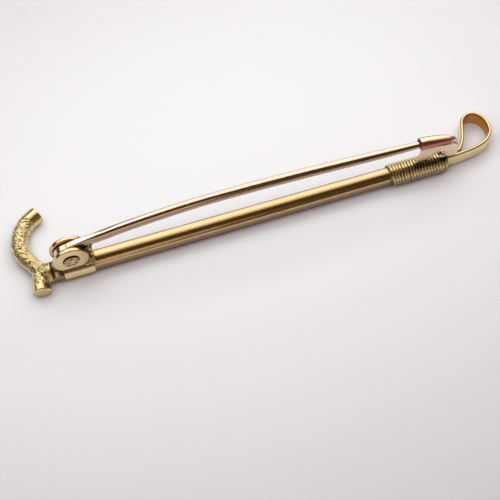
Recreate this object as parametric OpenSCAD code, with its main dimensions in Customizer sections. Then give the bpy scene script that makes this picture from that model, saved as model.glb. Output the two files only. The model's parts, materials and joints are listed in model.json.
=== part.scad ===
// Stock pin shaped as a riding crop, lying on a flat surface with its pin closed.
// X runs along the stick towards the lash loop, Y towards the crook's tip, Z up.
// The origin is below the middle of the whole pin, on the surface that it lies on.

/* [Stick] */
// From the hinge rivet to the stick's end inside the wire binding
span = 43.7; // [38:0.1:50]
// Radius of the stick beside the handle
shaft_r = 1.17; // [1.1:0.01:1.2]
// Radius of the stick where the wire binding begins
shaft_end_r = 1.03; // [1.01:0.01:1.08]

/* [Handle] */
// Size of the crook and the heel, where 1 is the one in the photo
crook_size = 1; // [0.85:0.01:1.1]
// Height of the bark ridges
bark_h = 0.05; // [0:0.01:0.08]
// Bark ridges for each millimetre of the crook
ridge_rate = 1.9; // [1:0.1:2.2]

/* [Hinge] */
// Height of the rivet above the stick's axis
pivot_z = 3.3; // [3.26:0.01:3.4]
// Radius of the two ears
ear_r = 2.14; // [2.1:0.01:2.2]
// Thickness of each ear
ear_t = 0.56; // [0.4:0.01:0.7]
// Half the thickness of the pin's eye
eye_half = 0.42; // [0.3:0.01:0.45]
// Radius of the pin's eye
eye_r = 1.8; // [1.6:0.01:1.9]
// Radius of the rivet between its heads
rivet_r = 0.45; // [0.35:0.01:0.6]
// Radius of the rivet's heads
rivet_head_r = 0.98; // [0.8:0.01:1.2]
// Outer radius of the collar
collar_r = 1.36; // [1.32:0.01:1.38]

/* [Pin stem] */
// Radius of the wire at its thickest
stem_r = 0.62; // [0.5:0.01:0.64]
// Height of the closed wire above the rivet, where 1 is the one in the photo
stem_bow = 1; // [0.98:0.01:1.04]

/* [Catch] */
// Radius of the hood's mouth
hood_r = 0.72; // [0.72:0.01:0.8]
// Thickness of the hood's wall
hood_wall = 0.13; // [0.1:0.01:0.14]
// Thickness of the sheet below the hood
sheet_t = 0.3; // [0.2:0.01:0.3]

/* [Binding] */
// Number of turns of wire
turns = 20; // [18:1:22]
// Diameter of the binding wire
wire_d = 0.36; // [0.3:0.01:0.37]

/* [Lash loop] */
// Thickness of the strip
strip_t = 0.42; // [0.3:0.01:0.42]
// Height of the strip
strip_h = 2.1; // [1.9:0.05:2.3]

/* [Fits] */
// Gap between pieces that are soldered or pressed together
seam = 0.03; // [0.02:0.01:0.03]
// Gap round the rivet in the turning eye
run_gap = 0.05; // [0.03:0.01:0.08]
// Gap between the eye and each ear
side_gap = 0.08; // [0.06:0.01:0.1]

/* [Hidden] */
$fn = 64;
// Small overlap that joins two solids, and how far a cutter runs past what it cuts
eps = 0.01;
past = 2;

// X is measured from the rivet at the hinge and the handle, and from the stick's end beyond them.
// Heights are measured from the stick's axis.

// Binding: one ring of wire for each turn, on a thin sleeve of solder
wire_r = wire_d / 2;
wire_pitch = wire_d * 1.04;
sleeve_r = shaft_end_r - 0.02;
binding_r = sleeve_r + wire_d + eps;
binding_x = -4.36;
binding_l = turns * wire_pitch;
binding_end_x = binding_x + binding_l;

// Stick: a cone between the handle and the binding, with a thinner tenon inside each
neck_x = -2.55;
socket_r = 0.72;
socket_l = 0.9;
tenon_r = sleeve_r - seam;

// Handle: the crook from the stick to its tip, as [x, y, z, radius] from the end of the stick's neck
crook_rows = [
    [0.35, 0.0, 0.0, 1.2],
    [-0.6, 0.15, -0.08, 1.17],
    [-1.28, 0.82, -0.19, 1.02],
    [-1.76, 1.66, -0.27, 0.96],
    [-2.24, 2.5, -0.28, 0.99],
    [-2.57, 3.38, -0.28, 1.03],
    [-2.66, 4.3, -0.28, 1.05],
    [-2.51, 5.22, -0.28, 1.04],
    [-2.06, 6.2, -0.28, 1.03],
    [-1.46, 7.0, -0.28, 1.02],
    [-0.84, 7.54, -0.28, 1.04],
    [0.46, 8.24, -0.28, 1.07],
];
// Heel that points the other way from the crook's root, in the same columns
heel_rows = [
    [-0.8, 0.75, -0.12, 1.0],
    [-1.16, -0.1, -0.2, 1.08],
    [-1.38, -0.9, -0.26, 1.06],
    [-1.52, -1.6, -0.26, 1.06],
    [-1.6, -2.25, -0.27, 1.1],
];
crook_smooth_l = 1.4;
heel_smooth_l = 0.7;
bark_fade_l = 0.3;
bark_sides = 26;
bark_steps = 5;
// Shares of the bark's height that are even ridges and uneven ones, and the seeds of the uneven ones
even_share = 0.7;
uneven_share = 0.35;
crook_seed = 11;
heel_seed = 23;

// Hinge, a little in front of the stick's axis
hinge_y = -0.1;
ear_in = eye_half + side_gap;
ear_out = ear_in + ear_t;
eye_pocket_r = eye_r + 0.07;
collar_x = -1.15;
collar_l = 3.66;
rim_l = 0.4;
// Foot of solder under the ears, set back from their outer faces
foot_x = -0.9;
foot_l = 2.3;
foot_half = ear_out - 0.34;
foot_z = 0.3;
foot_h = 1.4;
// Stop post beside the ears, as [x, height]
post_rows = [
    [1.7, 1.1], [2.5, 1.1], [2.86, 1.45], [2.64, 2.1], [2.52, 2.8],
    [2.54, 3.5], [2.66, 4.05], [2.8, 4.43], [2.06, 4.33], [1.72, 4.2], [1.7, 3.3],
];
post_half = eye_half - 0.02;
// Solder that fills the corner between the ears, the post and the collar, in the same columns
mound_rows = [[1.5, 1.1], [2.5, 1.1], [2.8, 1.45], [2.6, 2.0], [2.35, 2.6], [1.5, 2.6]];
mound_half = ear_out - 0.12;
// Low rivet head with a bevelled edge and a shallow dish
head_h = 0.14;
head_bevel = 0.12;
dish_r = 0.55;
dish_h = 0.06;

// Pin wire from the eye to the point, as [part of the span, height above the rivet, radius, shape].
// The radius is against stem_r, and shape 1 is round while less is a flat strip as thick as the eye.
stem_rows = [
    [0.000, 1.30, 0.96, 0.25],
    [0.020, 1.54, 0.98, 0.25],
    [0.050, 1.75, 1.00, 0.45],
    [0.090, 1.98, 1.00, 1.00],
    [0.145, 2.40, 1.00, 1.00],
    [0.250, 2.91, 1.00, 1.00],
    [0.365, 3.23, 0.99, 1.00],
    [0.500, 3.20, 0.99, 1.00],
    [0.640, 2.97, 0.98, 1.00],
    [0.752, 2.66, 0.95, 1.00],
    [0.838, 2.41, 0.90, 1.00],
    [0.922, 2.17, 0.80, 1.00],
    [0.972, 2.05, 0.70, 1.00],
    [1.010, 1.90, 0.52, 1.00],
    [1.045, 1.68, 0.28, 1.00],
    [1.070, 1.46, 0.06, 1.00],
];
stem_sides = 24;
stem_steps = 4;

// Catch: the sheet's outline with its arched window, as [x, height]
sheet_rows = [
    [-0.78, 5.2], [-1.08, 1.0], [0.02, 1.0], [0.12, 1.42], [0.48, 1.9], [0.8, 2.3],
    [0.9, 2.8], [1.05, 3.25], [1.55, 3.5], [2.1, 3.5], [2.42, 2.9], [2.72, 2.3],
    [2.86, 1.5], [2.86, 1.0], [4.1, 1.0], [4.36, 1.7], [4.1, 3.9], [3.4, 4.3],
];
// The sheet's front face at the stick's axis, and how far it leans forward
sheet_y = -0.22;
sheet_lean = 5.5;
// Hood that bends down to its nose, as [x, height, radius against hood_r]
hood_rows = [
    [-0.9, 5.44, 1.0],
    [-0.15, 5.37, 0.985],
    [0.75, 5.23, 0.945],
    [1.79, 5.03, 0.845],
    [2.71, 4.8, 0.745],
    [3.38, 4.55, 0.585],
    [3.8, 4.31, 0.4],
    [4.06, 4.12, 0.17],
];
hood_y = -0.05;
hood_sides = 24;
hood_steps = 3;
// Hollow of the hood on a straight axis from its mouth, as [place along it, radius against the mouth's]
hollow_rows = [[0, 1.0], [1.7, 0.93], [3.1, 0.75], [4.1, 0.37]];
hollow_slope = 9;
// The hood is open along its lower back, from just past the hollow's middle
slot_y = -0.12;
slot_l = 3.2;
slot_top = -0.35;

// Lash loop: middle line of the strip seen from above, as [x, y]
loop_rows = [
    [3.0, 0.235], [3.71, 0.235], [4.78, 0.31], [5.46, 0.95], [6.03, 1.9], [6.44, 3.0], [6.9, 4.18],
    [7.61, 4.72], [8.46, 4.74], [9.16, 4.25], [9.61, 3.5], [9.74, 2.7], [9.61, 1.75], [9.01, 0.95],
    [8.16, 0.4], [7.21, 0.12], [6.31, -0.05], [5.41, -0.135], [4.41, -0.215], [3.61, -0.235], [3.0, -0.235],
];
loop_steps = 5;
// Where the strip's two ends begin inside the binding, and where they part
loop_tail_x = 0.1;
loop_part_x = 4.7;
loop_z = -0.05;
strip_top = loop_z + strip_h / 2;
mouth_x = binding_end_x + 2 * seam;

// How far the handle reaches from the neck's end, which with the loop sets the origin
crook_reach_x = 3.77;
crook_reach_y = 9.15;
heel_reach_y = 2.35;
handle_end_x = neck_x - crook_reach_x * crook_size;
loop_end_x = max([for (r = loop_rows) r[0]]) + strip_t / 2;
bar_x = -(span + handle_end_x + loop_end_x) / 2;
bar_y = (heel_reach_y - crook_reach_y) * crook_size / 2;
bar_z = binding_r;

// A point t of the way from row i to the next one, on a smooth curve through all rows
function spline_row(rows, i, t) =
    let (
        last = len(rows) - 1,
        a = rows[max(i - 1, 0)],
        b = rows[i],
        c = rows[min(i + 1, last)],
        d = rows[min(i + 2, last)]
    )
    0.5 * (2 * b + (c - a) * t + (2 * a - 5 * b + 4 * c - d) * t ^ 2 + (3 * b - 3 * c + d - a) * t ^ 3);

function spline(rows, steps) = [
    for (i = [0 : len(rows) - 2], k = [0 : steps - 1]) spline_row(rows, i, k / steps),
    rows[len(rows) - 1]
];

function unit(v) = v / norm(v);
function spot(row) = [row[0], row[1], row[2]];
function heading(rows, i) = unit(spot(rows[min(i + 1, len(rows) - 1)]) - spot(rows[max(i - 1, 0)]));
function signed_power(v, p) = sign(v) * abs(v) ^ p;

// One closed ring of points round a row of [x, y, z, half width, half height, shape]
function ring(rows, i, sides) =
    let (
        row = rows[i],
        ahead = heading(rows, i),
        side = unit(cross(ahead, [0, 0, 1])),
        up = cross(side, ahead)
    )
    [for (k = [0 : sides - 1])
        let (
            a = 360 * (k + 0.5) / sides,
            across = row[3] * signed_power(cos(a), row[5]),
            lift = row[4] * signed_power(sin(a), row[5])
        )
        spot(row) + across * side + lift * up];

// A solid swept through the rings of all rows
module sweep(rows, sides) {
    last = len(rows) - 1;
    points = [for (i = [0 : last]) each ring(rows, i, sides)];
    walls = [
        for (i = [0 : last - 1], k = [0 : sides - 1])
            let (a = i * sides + k, b = i * sides + (k + 1) % sides)
            each [[a, b, b + sides], [a, b + sides, a + sides]]
    ];
    start_face = [for (k = [sides - 1 : -1 : 0]) k];
    end_face = [for (k = [0 : sides - 1]) last * sides + k];
    polyhedron(points, concat([start_face], walls, [end_face]));
}

// Length along the rows up to row i
function run_length(rows, i) =
    i == 0 ? 0 : run_length(rows, i - 1) + norm(spot(rows[i]) - spot(rows[i - 1]));

// Rows of [x, y, z, radius] with ridges across the bark, which fade out before the smooth end
function barked(rows, seed, smooth_l) =
    let (
        last = len(rows) - 1,
        total = run_length(rows, last),
        uneven = rands(-uneven_share, uneven_share, last + 1, seed)
    )
    [for (i = [0 : last])
        let (
            s = run_length(rows, i),
            fade = min(1, max(0, (total - s - smooth_l) / bark_fade_l)),
            ridge = even_share * sin(360 * s * ridge_rate) + uneven[i],
            r = rows[i][3] + bark_h * fade * ridge
        )
        concat(spot(rows[i]), [r, r, 1])];

function from_neck(rows) = [for (r = rows) [neck_x + r[0] * crook_size, r[1] * crook_size, r[2], r[3]]];

module at_hinge() {
    translate([bar_x, bar_y, bar_z]) children();
}

module at_stick_end() {
    translate([bar_x + span, bar_y, bar_z]) children();
}

// A cylinder or cone along X from x
module rod(x, length, r1, r2) {
    translate([x, 0, 0]) rotate([0, 90, 0]) cylinder(r1 = r1, r2 = r2, h = length);
}

// A cylinder round the rivet's axis, from y in front of or behind the hinge's middle
module across_hinge(r, y, width) {
    translate([0, hinge_y + y, pivot_z]) rotate([-90, 0, 0]) cylinder(r = r, h = width);
}

module handle() {
    color("goldenrod") at_hinge() difference() {
        union() {
            sweep(barked(spline(from_neck(crook_rows), bark_steps), crook_seed, crook_smooth_l), bark_sides);
            sweep(barked(spline(from_neck(heel_rows), bark_steps), heel_seed, heel_smooth_l), bark_sides);
        }
        rod(neck_x - socket_l, socket_l + past, socket_r, socket_r);
        rod(neck_x, past, past, past);
    }
}

module shaft() {
    cone_x = neck_x + seam;
    cone_l = span + binding_x - seam - cone_x;
    tenon_x = cone_x + cone_l - eps;
    color("gold") at_hinge() union() {
        rod(neck_x - socket_l + seam, socket_l + eps, socket_r - seam, socket_r - seam);
        rod(cone_x, cone_l, shaft_r, shaft_end_r);
        rod(tenon_x, span - tenon_x, tenon_r, tenon_r);
    }
}

// A plate across the hinge's middle, from an outline of [x, height]
module plate(rows, half) {
    translate([0, hinge_y + half, 0]) rotate([90, 0, 0]) linear_extrude(2 * half) polygon(rows);
}

module hinge_collar() {
    color("gold") at_hinge() difference() {
        union() {
            rod(collar_x, collar_l, collar_r, collar_r);
            rod(collar_x + collar_l - rim_l, rim_l, binding_r, binding_r);
            across_hinge(ear_r, ear_in, ear_t);
            across_hinge(ear_r, -ear_out, ear_t);
            translate([foot_x, hinge_y - foot_half, foot_z]) cube([foot_l, 2 * foot_half, foot_h]);
            plate(post_rows, post_half);
            plate(mound_rows, mound_half);
        }
        rod(collar_x - past, collar_l + 2 * past, shaft_r + seam, shaft_r + seam);
        across_hinge(eye_pocket_r, -ear_in, 2 * ear_in);
        across_hinge(rivet_r + seam, -ear_out - past, 2 * (ear_out + past));
    }
}

module rivet() {
    head_y = ear_out + seam;
    end_y = head_y + head_h;
    half_profile = [
        [0, 0], [rivet_r, 0], [rivet_r, head_y], [rivet_head_r, head_y], [rivet_head_r, head_y + head_h / 2],
        [rivet_head_r - head_bevel, end_y], [dish_r, end_y], [0, end_y - dish_h],
    ];
    color("rosybrown") at_hinge() translate([0, hinge_y, pivot_z]) for (turn = [-90, 90])
        rotate([turn, 0, 0]) rotate_extrude() polygon(half_profile);
}

// The wire runs from the hinge's plane to the hood's
module pin_stem() {
    wire = [
        for (r = stem_rows)
            let (
                y = hinge_y + (hood_y - hinge_y) * min(1, r[0]),
                half_h = stem_r * r[2],
                half_w = r[3] < 1 ? eye_half : half_h
            )
            [r[0] * span, y, pivot_z + r[1] * stem_bow, half_w, half_h, r[3]]
    ];
    color("peru") at_hinge() difference() {
        union() {
            across_hinge(eye_r, -eye_half, 2 * eye_half);
            sweep(spline(wire, stem_steps), stem_sides);
        }
        across_hinge(rivet_r + run_gap, -eye_half - past, 2 * (eye_half + past));
    }
}

module whipping() {
    color("darkkhaki") at_stick_end() translate([binding_x, 0, 0]) rotate([0, 90, 0]) rotate_extrude() {
        translate([sleeve_r, eps]) square([wire_r, binding_l - 2 * eps]);
        for (i = [0 : turns - 1])
            translate([binding_r - wire_r, (i + 0.5) * wire_pitch]) circle(r = wire_r);
    }
}

// The hood's outer form, as a solid
module hood() {
    line = [
        for (r = spline(hood_rows, hood_steps))
            let (radius = hood_r * r[2])
            [r[0], hood_y, r[1], radius, radius, 1]
    ];
    sweep(line, hood_sides);
}

module at_mouth() {
    mouth = hood_rows[0];
    translate([mouth[0], hood_y, mouth[1]]) rotate([0, hollow_slope, 0]) children();
}

// The hollow runs past the mouth
module hollow() {
    mouth_r = hood_r - hood_wall;
    last = hollow_rows[len(hollow_rows) - 1];
    rotate([0, 90, 0]) rotate_extrude() polygon(concat(
        [[0, -past], [mouth_r, -past]],
        [for (r = hollow_rows) [mouth_r * r[1], r[0]]],
        [[0, last[0]]]
    ));
}

module slot() {
    translate([-past, slot_y, slot_top - past]) cube([past + slot_l, 2 * past, past]);
}

module sheet() {
    translate([0, sheet_y, 0]) rotate([sheet_lean, 0, 0]) translate([0, sheet_t, 0]) rotate([90, 0, 0])
        linear_extrude(sheet_t) polygon(sheet_rows);
}

module catch() {
    color("rosybrown") at_stick_end() difference() {
        union() {
            sheet();
            hood();
        }
        at_mouth() hollow();
        at_mouth() slot();
        rod(-past, past + binding_end_x + seam, binding_r + seam, binding_r + seam);
        translate([past, -past, 0]) cube([2 * past, 2 * past, strip_top + seam]);
    }
}

// A point of the middle line set out to one side
function aside(rows, i, d) =
    let (
        last = len(rows) - 1,
        ahead = unit(rows[min(i + 1, last)] - rows[max(i - 1, 0)])
    )
    rows[i] + d * [-ahead[1], ahead[0]];

// The strip bent round the loop, with its two ends side by side
module loop_outline() {
    line = spline(loop_rows, loop_steps);
    last = len(line) - 1;
    tail_half = loop_rows[0][1] + strip_t / 2;
    difference() {
        polygon(concat(
            [[loop_tail_x, -tail_half], [loop_tail_x, tail_half]],
            [for (i = [0 : last]) aside(line, i, strip_t / 2)]
        ));
        polygon([for (i = [0 : last]) if (line[i][0] > loop_part_x) aside(line, i, -strip_t / 2)]);
    }
}

module loop() {
    reach = loop_end_x + past;
    color("gold") at_stick_end() intersection() {
        translate([0, 0, loop_z - strip_h / 2]) linear_extrude(strip_h) loop_outline();
        union() {
            rod(0, mouth_x + eps, tenon_r, tenon_r);
            translate([mouth_x, -reach, -reach]) cube(2 * reach);
        }
    }
}

handle();
shaft();
hinge_collar();
rivet();
pin_stem();
whipping();
catch();
loop();
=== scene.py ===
import json
import math

import bmesh
import bpy
import numpy as np
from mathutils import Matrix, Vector


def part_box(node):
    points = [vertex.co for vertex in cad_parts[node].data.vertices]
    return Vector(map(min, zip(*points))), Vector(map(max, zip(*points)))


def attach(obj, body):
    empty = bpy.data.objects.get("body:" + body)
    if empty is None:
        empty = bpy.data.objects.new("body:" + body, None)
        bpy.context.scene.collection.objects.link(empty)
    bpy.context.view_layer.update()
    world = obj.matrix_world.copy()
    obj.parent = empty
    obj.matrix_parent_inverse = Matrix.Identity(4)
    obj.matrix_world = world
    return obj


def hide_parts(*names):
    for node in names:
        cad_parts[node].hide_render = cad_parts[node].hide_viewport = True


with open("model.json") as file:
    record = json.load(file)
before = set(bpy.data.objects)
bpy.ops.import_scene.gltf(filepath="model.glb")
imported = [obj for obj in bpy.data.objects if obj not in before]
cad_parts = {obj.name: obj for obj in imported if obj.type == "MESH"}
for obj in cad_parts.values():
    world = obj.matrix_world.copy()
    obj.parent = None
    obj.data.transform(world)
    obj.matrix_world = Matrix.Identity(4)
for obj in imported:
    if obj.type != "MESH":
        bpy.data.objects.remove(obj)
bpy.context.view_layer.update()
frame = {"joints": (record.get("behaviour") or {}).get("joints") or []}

# Gold stock pin shaped as a riding crop. Shapes are worked out in millimetres and made in metres.
mm = 0.001

# The stick's axis and the hinge's rivet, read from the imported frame
rivetPoint = np.array(frame["joints"][0]["pos_m"]) / mm
shaftLow, shaftHigh = (np.array(corner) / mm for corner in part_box("shaft"))
axisY = (shaftLow[1] + shaftHigh[1]) / 2
axisZ = (shaftLow[2] + shaftHigh[2]) / 2
hingeOrigin = np.array([rivetPoint[0], axisY, axisZ])
# the stick's end, from which the binding, the catch and the loop are measured
span = 43.7  # along the stick from the rivet
spanEnd = hingeOrigin + [span, 0, 0]


# Small helpers

def hexToLinear(code):
    # sRGB hex, such as "#d8b46a", to the linear colour that shaders take
    parts = [int(code[i:i + 2], 16) / 255 for i in (1, 3, 5)]
    return [p / 12.92 if p <= 0.04045 else ((p + 0.055) / 1.055) ** 2.4 for p in parts] + [1.0]


def addNode(tree, kind, settings=None, links=None):
    node = tree.nodes.new(kind)
    for key, value in (settings or {}).items():
        if isinstance(key, str) and hasattr(node, key):
            setattr(node, key, value)
        else:
            node.inputs[key].default_value = value
    for key, (source, output) in (links or {}).items():
        tree.links.new(source.outputs[output], node.inputs[key])
    return node


def catmull(rows, steps):
    # smooth curve through all rows, the same one that the solids use
    rows = np.array(rows, float)
    last = len(rows) - 1
    out = []
    for i in range(last):
        a, b, c, d = rows[max(i - 1, 0)], rows[i], rows[i + 1], rows[min(i + 2, last)]
        for k in range(steps):
            t = k / steps
            out.append(0.5 * (2 * b + (c - a) * t + (2 * a - 5 * b + 4 * c - d) * t ** 2
                              + (3 * b - 3 * c + d - a) * t ** 3))
    out.append(rows[last])
    return np.array(out)


def headings(path):
    ahead = np.gradient(path, axis=0)
    return ahead / np.linalg.norm(ahead, axis=1)[:, None]


def arcLength(path):
    return np.concatenate([[0], np.cumsum(np.linalg.norm(np.diff(path, axis=0), axis=1))])


def closedSweep(rings):
    # rings of the same number of points, joined by quads and closed by a face at each end
    count, sides, _ = rings.shape
    points = rings.reshape(-1, 3)
    faces = []
    for i in range(count - 1):
        for k in range(sides):
            a = i * sides + k
            b = i * sides + (k + 1) % sides
            faces.append((a, b, b + sides, a + sides))
    faces.append(tuple(range(sides - 1, -1, -1)))
    faces.append(tuple((count - 1) * sides + k for k in range(sides)))
    return points, faces


def tubeRings(path, halfWidth, halfHeight, shape, sides):
    # cross-section rings that stand upright on a path; shape 1 is round and less is squarer
    ahead = headings(path)
    side = np.cross(ahead, [0, 0, 1])
    side /= np.linalg.norm(side, axis=1)[:, None]
    up = np.cross(side, ahead)
    angle = 2 * math.pi * (np.arange(sides) + 0.5) / sides
    shape = np.broadcast_to(shape, len(path))[:, None]
    across = np.sign(np.cos(angle)) * np.abs(np.cos(angle)) ** shape * np.reshape(halfWidth, (-1, 1))
    lift = np.sign(np.sin(angle)) * np.abs(np.sin(angle)) ** shape * np.reshape(halfHeight, (-1, 1))
    return path[:, None] + across[..., None] * side[:, None] + lift[..., None] * up[:, None]


def latheRings(profile, sides, start, axis):
    # rings of [place along the axis, radius] turned round an axis that starts at a point
    axis = np.array(axis, float)
    helper = np.array([0, 0, 1.0]) if abs(axis[2]) < 0.9 else np.array([1.0, 0, 0])
    side = np.cross(axis, helper)
    side /= np.linalg.norm(side)
    up = np.cross(side, axis)
    angle = 2 * math.pi * np.arange(sides) / sides
    circle = np.cos(angle)[:, None] * side + np.sin(angle)[:, None] * up
    profile = np.array(profile, float)
    return np.array(start) + profile[:, :1, None] * axis + profile[:, 1, None, None] * circle


def roundedRod(length, radius, edge, steps=4):
    # lathe profile of a rod whose two rims are rounded
    turn = np.linspace(0, math.pi / 2, steps)
    first = [[edge - edge * math.cos(t), radius - edge + edge * math.sin(t)] for t in turn]
    second = [[length - edge + edge * math.sin(t), radius - edge + edge * math.cos(t)] for t in turn]
    return [[0, 0.02]] + first + second + [[length, 0.02]]


def solderBlob(centre, radius):
    # a small round lump, to be joined to a larger piece
    turn = np.linspace(0, math.pi, 9)
    profile = [[-radius * math.cos(t), radius * math.sin(t) + 0.002] for t in turn]
    return closedSweep(latheRings(profile, 14, centre, [0, 0, 1]))


def meshFrom(name, points, faces):
    mesh = bpy.data.meshes.new(name)
    mesh.from_pydata([tuple(p) for p in points], [], faces)
    mesh.validate()
    mesh.update()
    return mesh


def tempObject(name, points, faces):
    thing = bpy.data.objects.new(name, meshFrom(name, points, faces))
    bpy.context.scene.collection.objects.link(thing)
    fixNormals(thing.data)
    return thing


def fixNormals(mesh):
    work = bmesh.new()
    work.from_mesh(mesh)
    bmesh.ops.recalc_face_normals(work, faces=work.faces)
    work.to_mesh(mesh)
    work.free()


def evaluated(thing):
    # the mesh with its modifiers applied, and the working object removed
    graph = bpy.context.evaluated_depsgraph_get()
    mesh = bpy.data.meshes.new_from_object(thing.evaluated_get(graph))
    bpy.data.objects.remove(thing)
    return mesh


def combine(shells, operation="UNION", base=None):
    # joins closed shells to the base, or cuts them from it
    first = base or tempObject("work", *shells[0])
    rest = shells if base else shells[1:]
    for shell in rest:
        tool = tempObject("tool", *shell)
        step = first.modifiers.new("step", "BOOLEAN")
        step.operation = operation
        step.solver = "MANIFOLD"
        step.object = tool
        mesh = evaluated(first)
        bpy.data.objects.remove(tool)
        first = bpy.data.objects.new("work", mesh)
        bpy.context.scene.collection.objects.link(first)
    return first


def remeshed(thing, voxel):
    step = thing.modifiers.new("step", "REMESH")
    step.mode = "VOXEL"
    step.voxel_size = voxel
    return evaluated(thing)


def meshPoints(mesh):
    flat = np.zeros(len(mesh.vertices) * 3, np.float32)
    mesh.vertices.foreach_get("co", flat)
    return flat.reshape(-1, 3).astype(float)


def setPoints(mesh, points):
    mesh.vertices.foreach_set("co", points.astype(np.float32).ravel())
    mesh.update()


def meshNormals(mesh):
    flat = np.zeros(len(mesh.vertices) * 3, np.float32)
    mesh.vertices.foreach_get("normal", flat)
    return flat.reshape(-1, 3).astype(float)


def relax(mesh, rounds, weight=1.0):
    # evens out a dense mesh, which rounds its edges as wear does
    edges = np.zeros(len(mesh.edges) * 2, np.int32)
    mesh.edges.foreach_get("vertices", edges)
    a, b = edges.reshape(-1, 2).T
    points = meshPoints(mesh)
    count = np.bincount(a, minlength=len(points)) + np.bincount(b, minlength=len(points))
    weight = np.broadcast_to(weight, len(points))[:, None]
    for _ in range(rounds):
        total = np.zeros_like(points)
        for axis in range(3):
            total[:, axis] = (np.bincount(a, points[b, axis], len(points))
                              + np.bincount(b, points[a, axis], len(points)))
        points = points + 0.5 * weight * (total / count[:, None] - points)
    setPoints(mesh, points)


def paintAttribute(mesh, name, values):
    layer = mesh.attributes.new(name, "FLOAT", "POINT")
    layer.data.foreach_set("value", np.clip(values, 0, 1).astype(np.float32))


def ramp(value, start, width):
    # 0 at the start and 1 a width further on; a width below 0 runs the other way
    return np.clip((value - start) / width, 0, 1)


def stripe(value, middle, width):
    # 1 in the middle and soft to both sides
    return np.exp(-((value - middle) / width) ** 2)


def fringe(value, place, width):
    # 1 at a place, falling steeply to both sides
    return np.exp(-np.abs(value - place) / width)


def facingAngle(mesh):
    # degrees from straight up that each point faces, more than 0 to the front and less to the back
    normals = meshNormals(mesh)
    return np.degrees(np.arctan2(-normals[:, 1], normals[:, 2]))


def turnedAway(mesh, front, back):
    # 0 on the side that faces up, rising to 1 within 16 degrees past an angle to the front or the back
    angle = facingAngle(mesh)
    return ramp(angle, front, 16) + ramp(-angle, back, 16)


def finishPiece(name, mesh, node, body, material):
    # brings a mesh in millimetres into the frame, as the piece that stands for a node
    setPoints(mesh, meshPoints(mesh) * mm)
    mesh.polygons.foreach_set("use_smooth", [True] * len(mesh.polygons))
    mesh.set_sharp_from_angle(angle=math.radians(50))
    mesh.materials.clear()
    mesh.materials.append(material)
    mesh.name = name
    piece = bpy.data.objects.new(name, mesh)
    bpy.context.scene.collection.objects.link(piece)
    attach(piece, body)
    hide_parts(node)
    print("made", name, len(mesh.polygons), "faces")
    return piece


# Metals

def goldMaterial(name, look):
    # polished or cast gold alloy, with dirt, tarnish, painted shade and painted reflection where the mesh
    # says so
    material = bpy.data.materials.new(name)
    material.use_nodes = True
    tree = material.node_tree
    tree.nodes.clear()
    coords = addNode(tree, "ShaderNodeTexCoord")
    patches = addNode(tree, "ShaderNodeTexNoise",
                      {"Scale": 1 / (look["patchSize"] * mm), "Detail": 3.0, "Roughness": 0.55},
                      {"Vector": (coords, "Object")})
    tint = addNode(tree, "ShaderNodeMix", {"data_type": "RGBA", 6: hexToLinear(look["gold"]),
                                           7: hexToLinear(look["goldDeep"])}, {0: (patches, "Fac")})
    # the grime layer darkens the colour for dirt and for painted shade in creases, joints and hollows
    dirtAndShade = addNode(tree, "ShaderNodeAttribute", {"attribute_name": "dirtAndShade"})
    breakUp = addNode(tree, "ShaderNodeTexNoise",
                      {"Scale": 1 / (look["dirtAndShadeSize"] * mm), "Detail": 4.0},
                      {"Vector": (coords, "Object")})
    dirtAndShadeEdge = addNode(tree, "ShaderNodeMath", {"operation": "MULTIPLY_ADD", 1: 0.7, 2: -0.35},
                        {0: (breakUp, "Fac")})
    dirtAndShadeSum = addNode(tree, "ShaderNodeMath", {"operation": "ADD"},
                       {0: (dirtAndShade, "Fac"), 1: (dirtAndShadeEdge, 0)})
    dirtAndShadeMask = addNode(tree, "ShaderNodeMapRange", {"From Min": 0.35, "From Max": 0.85,
                                                     "To Max": look["dirtAndShadeAmount"]},
                        {"Value": (dirtAndShadeSum, 0)})
    # the tarnish layer darkens the colour for tarnish and solder, and for painted shade and painted
    # reflection on sides that face away from the lamps
    tarnishAndShade = addNode(tree, "ShaderNodeAttribute", {"attribute_name": "tarnishAndShade"})
    tarnishAndShadeMix = addNode(tree, "ShaderNodeMix", {"data_type": "RGBA", 7: hexToLinear(look["tarnishAndShade"])},
                     {0: (tarnishAndShade, "Fac"), 6: (tint, 2)})
    colour = addNode(tree, "ShaderNodeMix", {"data_type": "RGBA", 7: hexToLinear(look["dirtAndShade"])},
                     {0: (dirtAndShadeMask, 0), 6: (tarnishAndShadeMix, 2)})
    marks = addNode(tree, "ShaderNodeTexNoise",
                    {"Scale": 1 / (look["markSize"] * mm), "Detail": 5.0, "Roughness": 0.6},
                    {"Vector": (coords, "Object")})
    rough = addNode(tree, "ShaderNodeMapRange",
                    {"From Min": 0.3, "From Max": 0.7, "To Min": look["roughness"] * 0.75,
                     "To Max": look["roughness"] * 1.3}, {"Value": (marks, "Fac")})
    roughDull = addNode(tree, "ShaderNodeMath", {"operation": "MULTIPLY_ADD", 1: 0.2},
                        {0: (tarnishAndShade, "Fac"), 2: (rough, 0)})
    roughDirtAndShade = addNode(tree, "ShaderNodeMath", {"operation": "MULTIPLY_ADD", 1: 0.35},
                         {0: (dirtAndShadeMask, 0), 2: (roughDull, 0)})
    ripple = addNode(tree, "ShaderNodeTexNoise",
                     {"Scale": 1 / (look["rippleSize"] * mm), "Detail": 2.0},
                     {"Vector": (coords, "Object")})
    dents = addNode(tree, "ShaderNodeBump", {"Strength": look["rippleStrength"],
                                             "Distance": look["rippleDepth"] * mm},
                    {"Height": (ripple, "Fac")})
    scratches = addNode(tree, "ShaderNodeBump", {"Strength": look["markStrength"],
                                                 "Distance": look["markDepth"] * mm},
                        {"Height": (marks, "Fac"), "Normal": (dents, 0)})
    shader = addNode(tree, "ShaderNodeBsdfPrincipled", {"Metallic": 1.0},
                     {"Base Color": (colour, 2), "Roughness": (roughDirtAndShade, 0), "Normal": (scratches, 0)})
    addNode(tree, "ShaderNodeOutputMaterial", links={"Surface": (shader, "BSDF")})
    return material


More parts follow.
